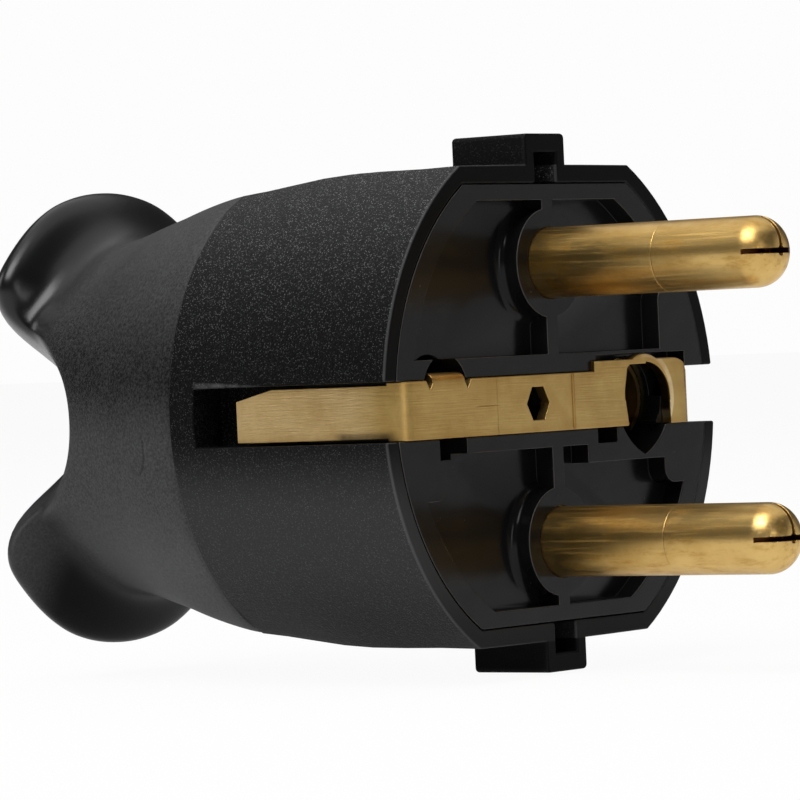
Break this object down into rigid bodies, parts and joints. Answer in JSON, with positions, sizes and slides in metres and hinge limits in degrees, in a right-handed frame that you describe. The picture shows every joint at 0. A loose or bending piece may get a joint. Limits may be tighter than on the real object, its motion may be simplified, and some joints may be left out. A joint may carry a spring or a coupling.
{
  "type": "two-pin earthed mains plug",
  "caption": "Black rewirable mains plug with round brass pins, a side-contact earth strip, an earth-pin hole, guide noses and finger lobes behind a waisted grip.",
  "frame": {"origin": "centre of the engagement face, midway between the two live pins", "axes": "+X out of the engagement face along the pins; +Z through both pins, towards the upper pin as pictured; +Y across the face, towards the earth-pin hole"},
  "size_m": [0.0604, 0.0374, 0.0366],
  "materials": {
    "black_housing": "fine-grained black moulding",
    "black_insert": "glossy black moulding",
    "pin_brass": "turned, worn by use",
    "strip_brass": "pressed strip, lightly brushed",
    "terminal_brass": "machined",
    "screw_steel": "zinc-plated"
  },
  "bodies": {
    "root": {"housing": "black_housing", "contact_carrier": "black_insert", "carrier_back": "black_insert", "pin_upper": "pin_brass", "pin_lower": "pin_brass", "earth_strip": "strip_brass", "earth_socket": "strip_brass", "terminal_upper": "terminal_brass", "terminal_lower": "terminal_brass", "terminal_screw_upper": "screw_steel", "terminal_screw_lower": "screw_steel", "clamp_plate_upper": "screw_steel", "clamp_plate_lower": "screw_steel", "earth_terminal": "terminal_brass", "earth_terminal_screw": "screw_steel", "clamp_plate_earth": "screw_steel", "carrier_screw": "screw_steel", "cord_clamp_bar": "black_insert", "cord_clamp_screw_left": "screw_steel", "cord_clamp_screw_right": "screw_steel"}
  },
  "joints": []
}
